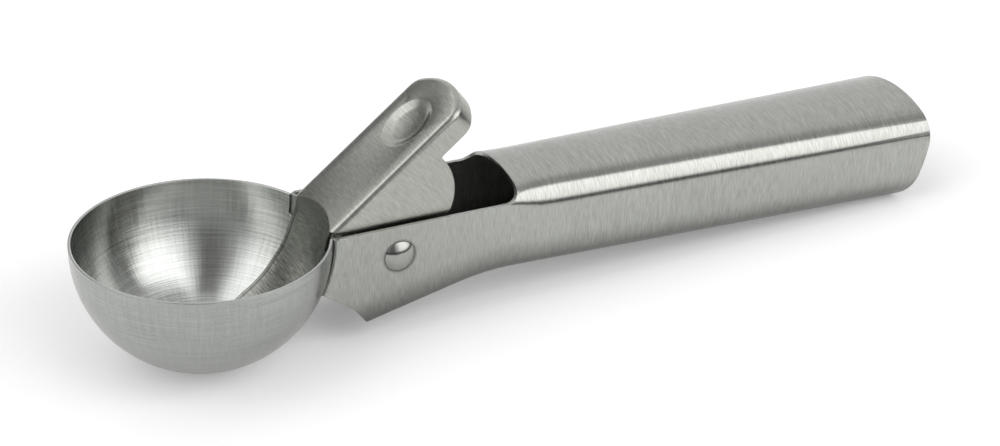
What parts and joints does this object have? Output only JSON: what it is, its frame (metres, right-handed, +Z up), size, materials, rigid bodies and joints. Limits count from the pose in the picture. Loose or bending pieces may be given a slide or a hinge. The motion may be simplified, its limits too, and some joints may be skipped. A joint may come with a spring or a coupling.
{
  "type": "ice cream scoop",
  "caption": "Lever ice cream scoop in brushed sheet steel: a thumb plate with a sprung blade sweeps the round bowl, on a hollow tapered handle.",
  "frame": {"origin": "middle of the bounding box in plan, at the height of the surface the scoop lies on", "axes": "+X along the handle away from the bowl, +Y across the scoop along the pivot, +Z up"},
  "size_m": [0.2014, 0.053, 0.0496],
  "materials": {
    "bowl_steel": "satin brushed stainless sheet",
    "handle_steel": "satin brushed stainless sheet",
    "lever_steel": "satin brushed stainless sheet",
    "rivet_steel": "smooth formed stainless rivet",
    "sleeve_steel": "plain drawn stainless tube",
    "spring_steel": "drawn spring wire"
  },
  "bodies": {
    "scoop": {"bowl": "bowl_steel", "handle_shell": "handle_steel", "pivot_rivet": "rivet_steel", "spacer_sleeve": "sleeve_steel", "torsion_spring": "spring_steel"},
    "lever": {"thumb_lever": "lever_steel"}
  },
  "joints": [
    {"name": "lever_pivot", "type": "hinge", "parent": "scoop", "child": "lever", "pos_m": [-0.03557, 0, 0.01898], "axis": [0, 1, 0], "range_deg": [0, 32], "stiffness_Nm_per_rad": 0.12, "springref_deg": -20.05, "deforming": ["torsion_spring"]}
  ]
}
